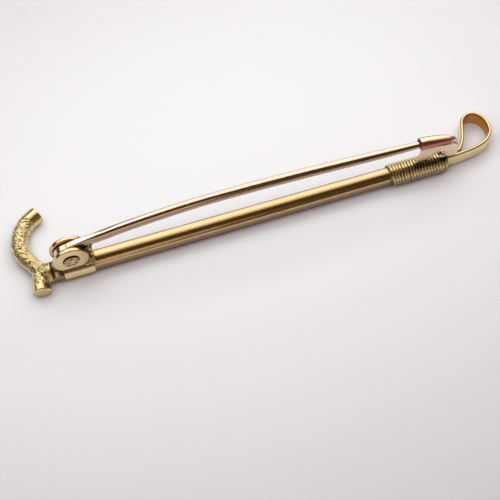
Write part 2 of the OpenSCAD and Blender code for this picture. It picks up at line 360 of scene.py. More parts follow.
# Yellow gold, buffed by hand: soft wavering reflections with fine hairlines
polishedYellow = goldMaterial("buffedYellowGold", {
    "gold": "#ecd8aa", "goldDeep": "#e0c68f", "dirtAndShade": "#3a2410", "tarnishAndShade": "#845f4c",
    "patchSize": 2.5, "dirtAndShadeSize": 0.3, "dirtAndShadeAmount": 0.9,
    "roughness": 0.17, "markSize": 0.12, "markStrength": 0.12, "markDepth": 0.004,
    "rippleSize": 1.1, "rippleStrength": 0.25, "rippleDepth": 0.02,
})
# Yellow gold as it left the mould, bright on the ridges and darker between them, partly dirt and partly
# painted shade
castBark = goldMaterial("castBarkGold", {
    "gold": "#eee0b2", "goldDeep": "#dcc88c", "dirtAndShade": "#5c4418", "tarnishAndShade": "#7d6838",
    "patchSize": 1.2, "dirtAndShadeSize": 0.2, "dirtAndShadeAmount": 0.6,
    "roughness": 0.24, "markSize": 0.08, "markStrength": 0.2, "markDepth": 0.006,
    "rippleSize": 0.25, "rippleStrength": 0.3, "rippleDepth": 0.012,
})
# The same gold round the hinge, khaki and brown from its solder and from painted shade
solderedYellow = goldMaterial("solderedYellowGold", {
    "gold": "#ecd8aa", "goldDeep": "#e0c68f", "dirtAndShade": "#3a2410", "tarnishAndShade": "#8a6630",
    "patchSize": 1.2, "dirtAndShadeSize": 0.25, "dirtAndShadeAmount": 0.9,
    "roughness": 0.16, "markSize": 0.12, "markStrength": 0.15, "markDepth": 0.004,
    "rippleSize": 0.9, "rippleStrength": 0.3, "rippleDepth": 0.02,
})
# Redder gold, drawn hard into wire for spring: pinkish with a cool sheen
drawnRose = goldMaterial("drawnRoseGold", {
    "gold": "#f0decd", "goldDeep": "#e6cfb8", "dirtAndShade": "#42281c", "tarnishAndShade": "#8d7058",
    "patchSize": 4.0, "dirtAndShadeSize": 0.3, "dirtAndShadeAmount": 0.9,
    "roughness": 0.15, "markSize": 0.15, "markStrength": 0.1, "markDepth": 0.004,
    "rippleSize": 1.6, "rippleStrength": 0.2, "rippleDepth": 0.015,
})
# Rivet wire hammered over the ears: khaki gold, dull, with painted shade in its dark pits
hammeredRivet = goldMaterial("hammeredRivetGold", {
    "gold": "#dcc198", "goldDeep": "#c2a175", "dirtAndShade": "#3c2416", "tarnishAndShade": "#7a5c44",
    "patchSize": 0.5, "dirtAndShadeSize": 0.18, "dirtAndShadeAmount": 0.95,
    "roughness": 0.26, "markSize": 0.1, "markStrength": 0.3, "markDepth": 0.008,
    "rippleSize": 0.35, "rippleStrength": 0.5, "rippleDepth": 0.03,
})
# Khaki sheet gold of the catch, bright on the hood's top, with painted maroon reflection down the hood's
# front
sheetGold = goldMaterial("sheetGoldPaintedReflection", {
    "gold": "#f8e6d2", "goldDeep": "#ecd2b0", "dirtAndShade": "#45261c", "tarnishAndShade": "#b46a5a",
    "patchSize": 2.2, "dirtAndShadeSize": 0.25, "dirtAndShadeAmount": 0.9,
    "roughness": 0.2, "markSize": 0.12, "markStrength": 0.15, "markDepth": 0.005,
    "rippleSize": 0.7, "rippleStrength": 0.3, "rippleDepth": 0.02,
})
# Rolled strip, yellower than the stick, with painted orange-brown reflection inside the loop
rolledStrip = goldMaterial("rolledStripGold", {
    "gold": "#f2e2b2", "goldDeep": "#e8d29a", "dirtAndShade": "#c8872f", "tarnishAndShade": "#5e4828",
    "patchSize": 2.0, "dirtAndShadeSize": 0.4, "dirtAndShadeAmount": 0.85,
    "roughness": 0.17, "markSize": 0.12, "markStrength": 0.12, "markDepth": 0.004,
    "rippleSize": 0.9, "rippleStrength": 0.3, "rippleDepth": 0.02,
})
# Fine drawn wire, greenish yellow, with dirt and painted shade between the turns
boundWire = goldMaterial("boundWireGold", {
    "gold": "#e0d29e", "goldDeep": "#ccb682", "dirtAndShade": "#2c1a0a", "tarnishAndShade": "#8a6e5c",
    "patchSize": 1.5, "dirtAndShadeSize": 0.25, "dirtAndShadeAmount": 0.95,
    "roughness": 0.18, "markSize": 0.1, "markStrength": 0.12, "markDepth": 0.004,
    "rippleSize": 0.6, "rippleStrength": 0.2, "rippleDepth": 0.01,
})
print("metals ready")


# Handle

handleLook = {
    # both branches as [x, y, z, radius], measured from the end of the stick's neck
    "crook": [
        [0.35, 0.0, 0.0, 1.2], [-0.6, 0.15, -0.08, 1.17], [-1.28, 0.82, -0.19, 1.02],
        [-1.76, 1.66, -0.27, 0.96], [-2.24, 2.5, -0.28, 0.99], [-2.57, 3.38, -0.28, 1.03],
        [-2.66, 4.3, -0.28, 1.05], [-2.51, 5.22, -0.28, 1.04], [-2.06, 6.2, -0.28, 1.03],
        [-1.46, 7.0, -0.28, 1.02], [-0.84, 7.54, -0.28, 1.04], [0.46, 8.24, -0.28, 1.07],
    ],
    "heel": [
        [-0.8, 0.75, -0.12, 1.0], [-1.16, -0.1, -0.2, 1.08], [-1.38, -0.9, -0.26, 1.06],
        [-1.52, -1.6, -0.26, 1.06], [-1.6, -2.25, -0.27, 1.1],
    ],
    "neckX": -2.55,
    "tipEdge": 0.16,  # rounding of both ends
    "socket": [0.9, 0.74],  # depth and radius of the hole that takes the stick's tenon
    "fillet": [-1.0, 0.2, -0.1],  # where the branches join and are softened
    "crookSmooth": 1.4,  # bare metal before the crook's tip
    "heelSmooth": 0.6,
    "voxel": 0.045,
    "barkHeight": 0.085,
    "stroke": [0.42, 0.12],  # half length and half width of a carved stroke on the crook
    "lump": [0.3, 0.22],  # and of a lump at its root and on the heel
    "lumpUntil": 5.6,  # length of crook from the root where the lumps have given way to strokes
    "spacing": 0.25,
    "seed": 4,
}


def domedPath(rows, steps, edge):
    # a row path whose end is rounded off, within its own length
    rows = catmull(rows, steps)
    ahead = headings(rows[:, :3])[-1]
    end, radius = rows[-1, :3], rows[-1, 3]
    keep = arcLength(rows[:, :3])
    rows = rows[keep < keep[-1] - edge * 1.6]
    turn = np.linspace(0, math.pi / 2, 7)[1:]
    extra = [[*(end + ahead * edge * (math.sin(t) - 1.25)), radius - edge * (1 - math.cos(t))]
             for t in turn]
    crown = [[*(end + ahead * edge * (-0.25 + 0.25 * k)), (radius - edge) * (1 - k ** 2) + 0.02]
             for k in (0.4, 0.7, 0.9, 1.0)]
    start = [[*(end - ahead * edge * 1.25), radius]]
    return np.vstack([rows, start, extra, crown])


def makeHandle(look):
    shells = []
    spines = []
    for key in ("crook", "heel"):
        rows = domedPath(look[key], 8, look["tipEdge"])
        rows[:, 0] += look["neckX"]
        rows[:, :3] += hingeOrigin
        shells.append(closedSweep(tubeRings(rows[:, :3], rows[:, 3], rows[:, 3], 1.0, 48)))
        spines.append(rows)
    depth, radius = look["socket"]
    bottom = hingeOrigin + [look["neckX"] - depth, 0, 0]
    bore = latheRings([[0, radius], [4, radius]], 48, bottom, [1, 0, 0])
    cut = latheRings([[0, 3.0], [3, 3.0]], 48, hingeOrigin + [look["neckX"], 0, 0], [1, 0, 0])
    work = combine(shells)
    work = combine([closedSweep(bore), closedSweep(cut)], "DIFFERENCE", work)
    mesh = remeshed(work, look["voxel"])
    points = meshPoints(mesh)
    root = hingeOrigin + [look["neckX"] + look["fillet"][0], *look["fillet"][1:]]
    near = np.clip(1.6 - np.linalg.norm(points - root, axis=1) / 1.3, 0, 1)
    keepNeck = ramp(look["neckX"] + hingeOrigin[0] - points[:, 0], 0, 0.25)
    relax(mesh, 40, near * keepNeck)
    relax(mesh, 2)
    addBark(mesh, spines, look)
    return finishPiece("barkHandle", mesh, "handle", "crop", castBark)


def addBark(mesh, spines, look):
    points = meshPoints(mesh)
    normals = meshNormals(mesh)
    # how far each point is from the smooth end of its own branch, and the way its branch runs
    share = []
    toEnd = []
    along = []
    places = []
    for rows, smooth in zip(spines, (look["crookSmooth"], look["heelSmooth"])):
        path = rows[:, :3]
        gap = np.linalg.norm(points[:, None] - path[None], axis=2) / rows[:, 3]
        nearest = gap.argmin(1)
        length = arcLength(path)
        place = length[nearest] + ((points - path[nearest]) * headings(path)[nearest]).sum(1)
        share.append(gap.min(1))
        toEnd.append(length[-1] - place - smooth)
        along.append(headings(path)[nearest])
        places.append(place)
    onCrook = share[0] <= share[1]
    rest = np.where(onCrook, toEnd[0], toEnd[1])
    axis = np.where(onCrook[:, None], along[0], along[1])
    lumpy = np.where(onCrook, ramp(places[0], look["lumpUntil"], -1.6), 1)
    draw = np.random.default_rng(look["seed"])
    seeds = []
    for i in draw.permutation(len(points))[:9000]:
        if not seeds or np.linalg.norm(points[seeds] - points[i], axis=1).min() > look["spacing"]:
            seeds.append(i)
    seeds = np.array(seeds)
    across = np.cross(normals[seeds], axis[seeds])
    across /= np.linalg.norm(across, axis=1)[:, None]
    # strokes lean one way or the other, so that they cross
    lean = np.radians(draw.choice([-1, 1], len(seeds)) * draw.uniform(18, 42, len(seeds)))[:, None]
    longWay = across * np.cos(lean) + axis[seeds] * np.sin(lean)
    shortWay = axis[seeds] * np.cos(lean) - across * np.sin(lean)
    size = np.outer(1 - lumpy[seeds], look["stroke"]) + np.outer(lumpy[seeds], look["lump"])
    size *= draw.uniform(0.75, 1.25, (len(seeds), 1))
    level = draw.uniform(0.45, 1.0, len(seeds))
    height = np.zeros(len(points))
    for begin in range(0, len(points), 4000):
        chunk = slice(begin, begin + 4000)
        offset = points[chunk, None] - points[seeds][None]
        u = (offset * longWay).sum(2)
        v = (offset * shortWay).sum(2)
        far = (offset ** 2).sum(2) - u ** 2 - v ** 2
        reach = (u / size[:, 0]) ** 2 + (v / size[:, 1]) ** 2 + far / 0.09
        height[chunk] = (level * (1 - reach)).max(1)
    height = np.clip(height, 0, 1)
    fade = ramp(rest, 0, 0.3) * ramp(look["neckX"] + hingeOrigin[0] - points[:, 0], 0.02, 0.2)
    # the carving is shallower on the sides, which hands have worn
    worn = 0.5 + 0.5 * np.clip(normals[:, 2], 0, 1)
    setPoints(mesh, points + normals * (look["barkHeight"] * (height - 0.6) * fade * worn)[:, None])
    # the hollows between the carved strokes are darkened, partly as dirt and partly as painted shade
    paintAttribute(mesh, "dirtAndShade", np.clip(0.85 - 1.7 * height, 0, 1) * fade)
    # painted shade on the sides that face down, and the crook's root painted darker
    sideShade = 0.45 * ramp(normals[:, 2], 0.35, -0.5)
    paintAttribute(mesh, "tarnishAndShade", sideShade + 0.28 * lumpy * onCrook * fade)


makeHandle(handleLook)


# Stick

shaftLook = {
    "neckX": -2.52, "endX": 39.31, "neckRadius": 1.17, "endRadius": 1.03, "sides": 144,
    "tenon": [0.8, 0.65],  # length and radius inside the handle
    "tail": [4.3, 0.9],  # and inside the binding
    "collarX": [-1.0, 2.6],  # where the collar begins and ends
    "streak": -1.95,  # lighter streak of painted reflection on the darkened neck
    "lightNeckAngles": [66, 90],  # angles to the front and the back past which the neck is left undarkened
    "shadedSides": [58, 27],  # and past which the stick gets painted shade
    "shadeLine": [7, 6, 0.5],  # angle, width and strength of the painted shade line along the top
}


def makeShaft(look):
    # slightly uneven cone, as one filed and buffed by hand
    place = np.linspace(look["neckX"], look["endX"], 160)
    share = (place - place[0]) / (place[-1] - place[0])
    radius = look["neckRadius"] + (look["endRadius"] - look["neckRadius"]) * share
    radius += 0.006 * np.sin(place * 0.9 + 0.4) * np.sin(place * 0.31)
    first, last = place[0], place[-1]
    length, thin = look["tenon"]
    tenon = [[first - length, 0.02], [first - length, thin], [first - 0.01, thin + 0.01]]
    length, thin = look["tail"]
    tail = [[last + 0.01, thin], [last + length, thin], [last + length, 0.02]]
    profile = tenon + [list(p) for p in zip(place, radius)] + tail
    rings = latheRings(profile, look["sides"], hingeOrigin, [1, 0, 0])
    mesh = meshFrom("shaft", *closedSweep(rings))
    fixNormals(mesh)
    x = meshPoints(mesh)[:, 0] - hingeOrigin[0]
    collarStart, collarEnd = look["collarX"]
    # painted shadow beside the collar's end and where the stick meets the binding
    dirtAndShade = 0.75 * fringe(x, collarEnd, 0.22) + 0.4 * fringe(x, look["endX"], 0.15)
    # the neck beside the handle is darkened, partly as dirt and partly as painted shade, but for its
    # underside and one streak, left light as painted reflection
    streak = 0.8 * stripe(x, look["streak"], 0.2)
    leftLight = turnedAway(mesh, *look["lightNeckAngles"])
    dirtAndShade += 0.95 * ramp(x, collarStart, -0.2) * (1 - leftLight) * (1 - streak)
    paintAttribute(mesh, "dirtAndShade", dirtAndShade)
    # painted shade: the sides turned from the top are darkened, and a darker line along the top narrows
    # the highlight
    angle, width, strength = look["shadeLine"]
    topShadeLine = strength * stripe(facingAngle(mesh), angle, width) * (x > collarEnd)
    paintAttribute(mesh, "tarnishAndShade", 0.85 * turnedAway(mesh, *look["shadedSides"]) + topShadeLine)
    return finishPiece("stickShaft", mesh, "shaft", "crop", polishedYellow)


makeShaft(shaftLook)


# Hinge

hingeLook = {
    "y": -0.1, "rivetZ": 3.3,
    "earRadius": 2.14, "earInner": 0.5, "earThick": 0.56, "earEdge": 0.14,
    "collarX": -1.15, "collarLength": 3.66, "collarRadius": 1.36, "rimLength": 0.4, "rimRadius": 1.38,
    "bore": 1.2, "pocket": 1.87,  # radii of the stick's hole and of the room that the eye turns in
    "foot": [-0.9, 2.3, 0.72, 0.3, 1.4],  # x, length, half width, z, height
    # side outlines of the stop post and of the mound round its foot, as [x, height]
    "post": [
        [1.7, 1.1], [2.5, 1.1], [2.86, 1.45], [2.64, 2.1], [2.52, 2.8],
        [2.54, 3.5], [2.66, 4.05], [2.8, 4.43], [2.06, 4.33], [1.72, 4.2], [1.7, 3.3],
    ],
    "postHalf": 0.4,
    "mound": [[1.5, 1.1], [2.5, 1.1], [2.8, 1.45], [2.6, 2.0], [2.35, 2.6], [1.5, 2.6]],
    "moundHalf": 0.94,
    "lumps": 60, "lumpSize": [0.08, 0.18],  # solder crusted on the post
    "rivetRadius": 0.45, "rivetHole": 0.48,
    "headHigh": 0.14, "headBevel": 0.12, "headRadius": 0.98, "dishRadius": 0.55, "dishDepth": 0.06,
    "shadedSides": [112, 70],
    "voxel": 0.043,
    "seed": 19,
}


def slab(outline, low, high, origin):
    # a flat plate between two y values, from an outline of [x, height]
    outline = np.array(outline, float)
    front = np.insert(outline, 1, low, axis=1) + origin
    back = np.insert(outline, 1, high, axis=1) + origin
    return closedSweep(np.array([front, back]))


def acrossHinge(radius, low, high, edge, look, sides=96):
    start = hingeOrigin + [0, look["y"] + low, look["rivetZ"]]
    return closedSweep(latheRings(roundedRod(high - low, radius, edge), sides, start, [0, 1, 0]))


def makeCollar(look):
    inner, outer = look["earInner"], look["earInner"] + look["earThick"]
    sleeve = roundedRod(look["collarLength"], look["collarRadius"], 0.09)
    rim = roundedRod(look["rimLength"], look["rimRadius"], 0.08)
    rimX = look["collarX"] + look["collarLength"] - look["rimLength"]
    x, length, half, z, high = look["foot"]
    footOutline = [[x, z], [x + length, z], [x + length, z + high], [x, z + high]]
    shells = [
        closedSweep(latheRings(sleeve, 96, hingeOrigin + [look["collarX"], 0, 0], [1, 0, 0])),
        closedSweep(latheRings(rim, 96, hingeOrigin + [rimX, 0, 0], [1, 0, 0])),
        acrossHinge(look["earRadius"], inner, outer, look["earEdge"], look),
        acrossHinge(look["earRadius"], -outer, -inner, look["earEdge"], look),
        slab(footOutline, look["y"] - half, look["y"] + half, hingeOrigin),
        slab(look["post"], look["y"] - look["postHalf"], look["y"] + look["postHalf"], hingeOrigin),
        slab(look["mound"], look["y"] - look["moundHalf"], look["y"] + look["moundHalf"], hingeOrigin),
    ]
    draw = np.random.default_rng(look["seed"])
    corners = np.array(look["post"])[2:9]
    for _ in range(look["lumps"]):
        side = draw.integers(len(corners) - 1)
        spot = corners[side] + (corners[side + 1] - corners[side]) * draw.uniform(0, 1)
        spot[0] -= draw.uniform(0.12, 0.9)
        spot[1] = min(spot[1], 4.2)
        thick = look["moundHalf"] if spot[1] < 2.5 else look["postHalf"]
        depth = draw.choice([-1, 1]) * (thick - 0.06) * draw.uniform(0.5, 1)
        centre = hingeOrigin + [spot[0], look["y"] + depth, spot[1]]
        shells.append(solderBlob(centre, draw.uniform(*look["lumpSize"])))
    bore = latheRings([[0, look["bore"]], [6, look["bore"]]], 96, hingeOrigin + [-2, 0, 0], [1, 0, 0])
    work = combine(shells)
    work = combine([closedSweep(bore), acrossHinge(look["pocket"], -inner, inner, 0.02, look),
                    acrossHinge(look["rivetHole"], -2, 2, 0.02, look)], "DIFFERENCE", work)
    mesh = remeshed(work, look["voxel"])
    relax(mesh, 4)
    x, y, z = (meshPoints(mesh) - hingeOrigin).T
    away = np.abs(y - look["y"])
    fromRivet = np.hypot(x, z - look["rivetZ"])
    # painted shade lies in the slot between the ears and in the crease over the sleeve
    slot = ramp(away, inner + 0.02, -0.15) * (z > 1.2) * (x < 2.2)
    aboveSleeve = np.hypot(y, z) - look["collarRadius"]
    crease = fringe(aboveSleeve, 0, 0.16) * ramp(z, 0.5, 0.35) * (x < 2.6)
    # a painted dark line along each ear's edge, and dirt in the solder's pits
    edge = fringe(fromRivet, look["earRadius"] - 0.05, 0.05) * (away > outer - 0.12)
    patch = np.sin(7.1 * x + 3.0) * np.sin(6.3 * z + 1.0) * np.sin(8.7 * y)
    solder = (fromRivet > look["earRadius"] - 0.1) & (x > 1.4) & (z > 1.25)
    pits = np.clip(0.45 + patch, 0, 1) * solder
    # and painted shadow along the foot of each ear, over the sleeve
    earFootShade = ramp(z, 1.95, -0.35) * (away > outer - 0.2) * (aboveSleeve > 0.02) * (x < 1.3)
    paintAttribute(mesh, "dirtAndShade", 0.8 * slot + 0.8 * crease + 0.45 * edge + 0.8 * pits + 0.85 * earFootShade)
    # the solder's own khaki tone, painted shade toward the ears' right ends, and painted shade on sides
    # turned from the top
    solderToneAndShade = 0.55 * solder + 0.35 * ramp(x, 0.6, 1.0) * (away > inner) * (z > 1.4)
    paintAttribute(mesh, "tarnishAndShade", solderToneAndShade + 0.5 * turnedAway(mesh, *look["shadedSides"]))
    return finishPiece("hingeCollar", mesh, "hinge_collar", "crop", solderedYellow)


def makeRivet(look):
    headY = look["earInner"] + look["earThick"] + 0.03
    bevel, high, radius = look["headBevel"], look["headHigh"], look["headRadius"]
    turn = np.linspace(0, math.pi / 2, 6)
    head = [[headY + high / 2 * (1 + math.sin(t)), radius - bevel * (1 - math.cos(t))] for t in turn]
    dish = [[headY + high - look["dishDepth"] * math.cos(r / look["dishRadius"] * math.pi / 2), r]
            for r in (0.54, 0.45, 0.3, 0.15, 0.02)]
    half = [[0, look["rivetRadius"]], [headY, look["rivetRadius"]], [headY, radius]] + head + dish
    profile = [[-a, r] for a, r in half[:0:-1]] + half[1:]
    rings = latheRings(profile, 64, hingeOrigin + [0, look["y"], look["rivetZ"]], [0, 1, 0])
    mesh = meshFrom("rivet", *closedSweep(rings))
    fixNormals(mesh)
    points = meshPoints(mesh)
    away = points - hingeOrigin - [0, look["y"], look["rivetZ"]]
    # hammer marks in the faces of both heads
    dent = 0.03 * np.sin(away[:, 0] * 5.1 + away[:, 2] * 3.3) * np.cos(away[:, 0] * 2.3 - away[:, 2] * 6.1)
    outward = np.sign(away[:, 1]) * (np.abs(away[:, 1]) > headY + high * 0.4)
    points[:, 1] += np.minimum(dent, 0) * outward
    setPoints(mesh, points)
    fromMiddle = np.hypot(away[:, 0], away[:, 2])
    # painted shade round the head's rim, in its dish and in the hammer marks
    dirtAndShade = 0.95 * fringe(fromMiddle, radius, 0.1) + 0.6 * fringe(fromMiddle, look["dishRadius"], 0.12)
    dirtAndShade += 60 * np.maximum(-dent - 0.012, 0)
    paintAttribute(mesh, "dirtAndShade", dirtAndShade)
    return finishPiece("hingeRivet", mesh, "rivet", "crop", hammeredRivet)


makeCollar(hingeLook)
makeRivet(hingeLook)


# Pin wire

wireLook = {
    "radius": 0.615, "eyeHalf": 0.42, "eyeRadius": 1.8, "eyeEdge": 0.1, "eyeHole": 0.5,
    # part of the span, height above the rivet, thickness as a share, and shape (1 is round)
    "rows": [
        [0.000, 1.30, 0.96, 0.25], [0.020, 1.54, 0.98, 0.25], [0.050, 1.75, 1.00, 0.45],
        [0.090, 1.98, 1.00, 1.00], [0.145, 2.40, 1.00, 1.00], [0.250, 2.91, 1.00, 1.00],
        [0.365, 3.23, 0.99, 1.00], [0.500, 3.20, 0.99, 1.00], [0.640, 2.97, 0.98, 1.00],
        [0.752, 2.66, 0.95, 1.00], [0.838, 2.41, 0.90, 1.00], [0.922, 2.17, 0.80, 1.00],
        [0.972, 2.05, 0.70, 1.00], [1.010, 1.90, 0.52, 1.00], [1.045, 1.68, 0.28, 1.00],
        [1.070, 1.46, 0.06, 1.00],
    ],
    "endY": -0.05,
    "shadedSides": [48, 32],
    "voxel": 0.052,
}


def makePinWire(look, hinge):
    rows = []
    for place, rise, size, shape in look["rows"]:
        half = look["radius"] * size
        y = hinge["y"] + (look["endY"] - hinge["y"]) * min(1, place)
        width = look["eyeHalf"] if shape < 1 else half
        rows.append([place * span, y, hinge["rivetZ"] + rise, width, half, shape])
    rows = catmull(rows, 12)
    rows[:, 5] = np.clip(rows[:, 5], 0.3, 1)
    path = rows[:, :3] + hingeOrigin
    wire = closedSweep(tubeRings(path, rows[:, 3], rows[:, 4], rows[:, 5], 64))
    eye = acrossHinge(look["eyeRadius"], -look["eyeHalf"], look["eyeHalf"], look["eyeEdge"], hinge, 128)
    hole = acrossHinge(look["eyeHole"], -1, 1, 0.02, hinge, 64)
    work = combine([eye, wire])
    work = combine([hole], "DIFFERENCE", work)
    mesh = remeshed(work, look["voxel"])
    relax(mesh, 3)
    x, y, z = (meshPoints(mesh) - hingeOrigin).T
    # painted shade beside the hood's mouth, and on the eye's flat sides between the ears
    dirtAndShade = 0.6 * fringe(x, span - 0.9, 0.25)
    flank = ramp(np.abs(y - hinge["y"]), look["eyeHalf"] - 0.12, 0.1)
    dirtAndShade += 0.95 * flank * ramp(x, 2.4, -0.5) * (z < hinge["rivetZ"] + 1.55)
    paintAttribute(mesh, "dirtAndShade", dirtAndShade)
    # painted shade on the sides turned from the top: a dark line along the top edge and a darker lower
    # side
    paintAttribute(mesh, "tarnishAndShade", 0.7 * turnedAway(mesh, *look["shadedSides"]))
    return finishPiece("pinWire", mesh, "pin_stem", "pin", drawnRose)


makePinWire(wireLook, hingeLook)


# Wire binding

bindingLook = {
    "startX": -4.36, "turns": 20, "pitch": 0.3744, "wireRadius": 0.18, "middleRadius": 1.2,
    "coreRadius": 1.06, "stepsPerTurn": 72, "sides": 14, "seed": 7,
    "window": [1.25, 2.05],  # turns that show through the catch's arched window
    "windowSolder": [2.05, 2.95],
    "darkBand": [32, 16, 0.8],  # angle, width and strength of the painted dark reflection band along the front
    "shadedSides": [62, 50],
}


def makeBinding(look):
    draw = np.random.default_rng(look["seed"])
    count = look["turns"] * look["stepsPerTurn"]
    turn = np.linspace(0.5, look["turns"] - 0.5, count)
    # each turn lies a little unevenly against the last
    knots = np.arange(look["turns"] + 1)
    shift = np.interp(turn, knots, draw.uniform(-0.02, 0.02, look["turns"] + 1))
    swell = np.interp(turn, knots, draw.uniform(-0.012, 0.0, look["turns"] + 1))
    # and both ends of the wire are tucked in
    tuck = ramp(turn, 0.62, -0.12) + ramp(turn, look["turns"] - 0.62, 0.12)
    radius = look["middleRadius"] + swell - 0.14 * tuck
    wound = 2 * math.pi * turn + 2.2
    path = np.stack([look["startX"] + turn * look["pitch"] + shift * (tuck == 0),
                     radius * np.cos(wound), radius * np.sin(wound)], axis=1)
    ahead = headings(path)
    out = path.copy()
    out[:, 0] = 0
    out /= np.linalg.norm(out, axis=1)[:, None]
    sideways = np.cross(ahead, out)
    around = 2 * math.pi * np.arange(look["sides"]) / look["sides"]
    rings = (path[:, None] + look["wireRadius"] * (np.cos(around)[None, :, None] * out[:, None]
             + np.sin(around)[None, :, None] * sideways[:, None]))
    wirePoints, wireFaces = closedSweep(rings + spanEnd)
    length = look["turns"] * look["pitch"]
    core = roundedRod(length - 0.12, look["coreRadius"], 0.05)
    corePoints, coreFaces = closedSweep(
        latheRings(core, 72, spanEnd + [look["startX"] + 0.06, 0, 0], [1, 0, 0]))
    # dirt and painted shade between the turns, darkest under the catch's sheet, as painted shade, and on
    # its solder
    between = np.broadcast_to(0.6 - 0.72 * np.cos(around), (count, look["sides"]))
    where = path[:, 0]
    facing = np.degrees(np.arctan2(-path[:, 1], path[:, 2]))
    under = stripe(np.clip(np.abs(where - 1.0) - 2.1, 0, 9), 0, 0.25) * ramp(np.abs(facing - 8), 34, -34)
    # the turns that show through the sheet's arched window are clean up to its solder
    begin, end = look["window"]
    clean = (where > begin) & (where < end) & (facing < 6)
    begin, end = look["windowSolder"]
    soldered = (where > begin) & (where < end) & (np.abs(facing) < 30)
    under = np.where(clean, 0, under) + 0.9 * soldered
    # and a painted dark reflection band along the front
    angle, width, strength = look["darkBand"]
    under += strength * stripe(facing, angle, width) * (where < 3.2)
    # the core between the turns is darkened throughout, as painted shade
    dirtAndShade = np.concatenate([(between + 0.75 * under[:, None]).ravel(), np.full(len(corePoints), 0.6)])
    faces = wireFaces + [tuple(i + len(wirePoints) for i in face) for face in coreFaces]
    mesh = meshFrom("binding", np.vstack([wirePoints, corePoints]), faces)
    fixNormals(mesh)
    paintAttribute(mesh, "dirtAndShade", dirtAndShade)
    # painted reflection on the sides turned from the top, pinkish below
    paintAttribute(mesh, "tarnishAndShade", 0.7 * turnedAway(mesh, *look["shadedSides"]))
    return finishPiece("wireBinding", mesh, "whipping", "crop", boundWire)


makeBinding(bindingLook)


# Catch

catchLook = {
    # the sheet's outline as [x, height], round the arched window too
    "outline": [
        [-0.78, 5.2], [-1.08, 1.0], [0.02, 1.0], [0.12, 1.42], [0.48, 1.9], [0.8, 2.3],
        [0.9, 2.8], [1.05, 3.25], [1.55, 3.5], [2.1, 3.5], [2.42, 2.9], [2.72, 2.3],
        [2.86, 1.5], [2.86, 1.0], [4.1, 1.0], [4.36, 1.7], [4.1, 3.9], [3.4, 4.3],
    ],
    "sheetY": -0.22, "thick": 0.3, "lean": 5.5,
    "hoodRadius": 0.72, "wall": 0.13, "hoodY": -0.05, "lip": 0.1,
    "leftLight": [-26, 24],  # angles from the top between which the hood is bright
    # middle line of the hood as [x, height, share of its radius]
    "hood": [
        [-0.9, 5.44, 1.0], [-0.15, 5.37, 0.985], [0.75, 5.23, 0.945], [1.79, 5.03, 0.845],
        [2.71, 4.8, 0.745], [3.38, 4.55, 0.585], [3.8, 4.31, 0.4], [4.06, 4.12, 0.17],
    ],
    "hollow": [[0, 1.0], [1.7, 0.93], [3.1, 0.75], [4.1, 0.37]],  # [depth, share of its radius]
    "hollowSlope": 9,
    "slotY": -0.12, "slotLength": 3.2, "slotTop": -0.35,  # the opening low at the hood's back
    "bindingRadius": 1.41, "bindingEnd": 3.16, "stripTop": 1.03,  # what the sheet's feet are cut to
    "solder": [  # blobs at the sheet's feet and along one side of its window, as [x, height, radius]
        [-0.92, 1.3, 0.16], [-0.5, 1.36, 0.12], [-0.15, 1.33, 0.15], [3.02, 1.4, 0.17], [3.3, 1.12, 0.15],
        [3.7, 1.05, 0.14], [4.05, 1.12, 0.16], [3.1, 1.75, 0.11], [2.5, 1.62, 0.24], [2.2, 1.52, 0.17],
        [2.72, 1.9, 0.22], [1.9, 1.45, 0.12], [2.45, 2.1, 0.2], [2.35, 2.6, 0.2],
    ],
    # solder that joins the hood's nose to the sheet, as [x, y, z, radius]
    "noseSolder": [[3.7, -0.3, 4.13, 0.2], [3.88, -0.27, 4.05, 0.17], [4.0, -0.24, 4.0, 0.14]],
    "voxel": 0.035,
}


def leaned(points, look):
    # from the flat sheet to the way it leans on the binding
    lean = math.radians(look["lean"])
    turned = points.copy()
    turned[:, 1] = points[:, 1] * math.cos(lean) - points[:, 2] * math.sin(lean)
    turned[:, 2] = points[:, 1] * math.sin(lean) + points[:, 2] * math.cos(lean)
    return turned + spanEnd + [0, look["sheetY"], 0]


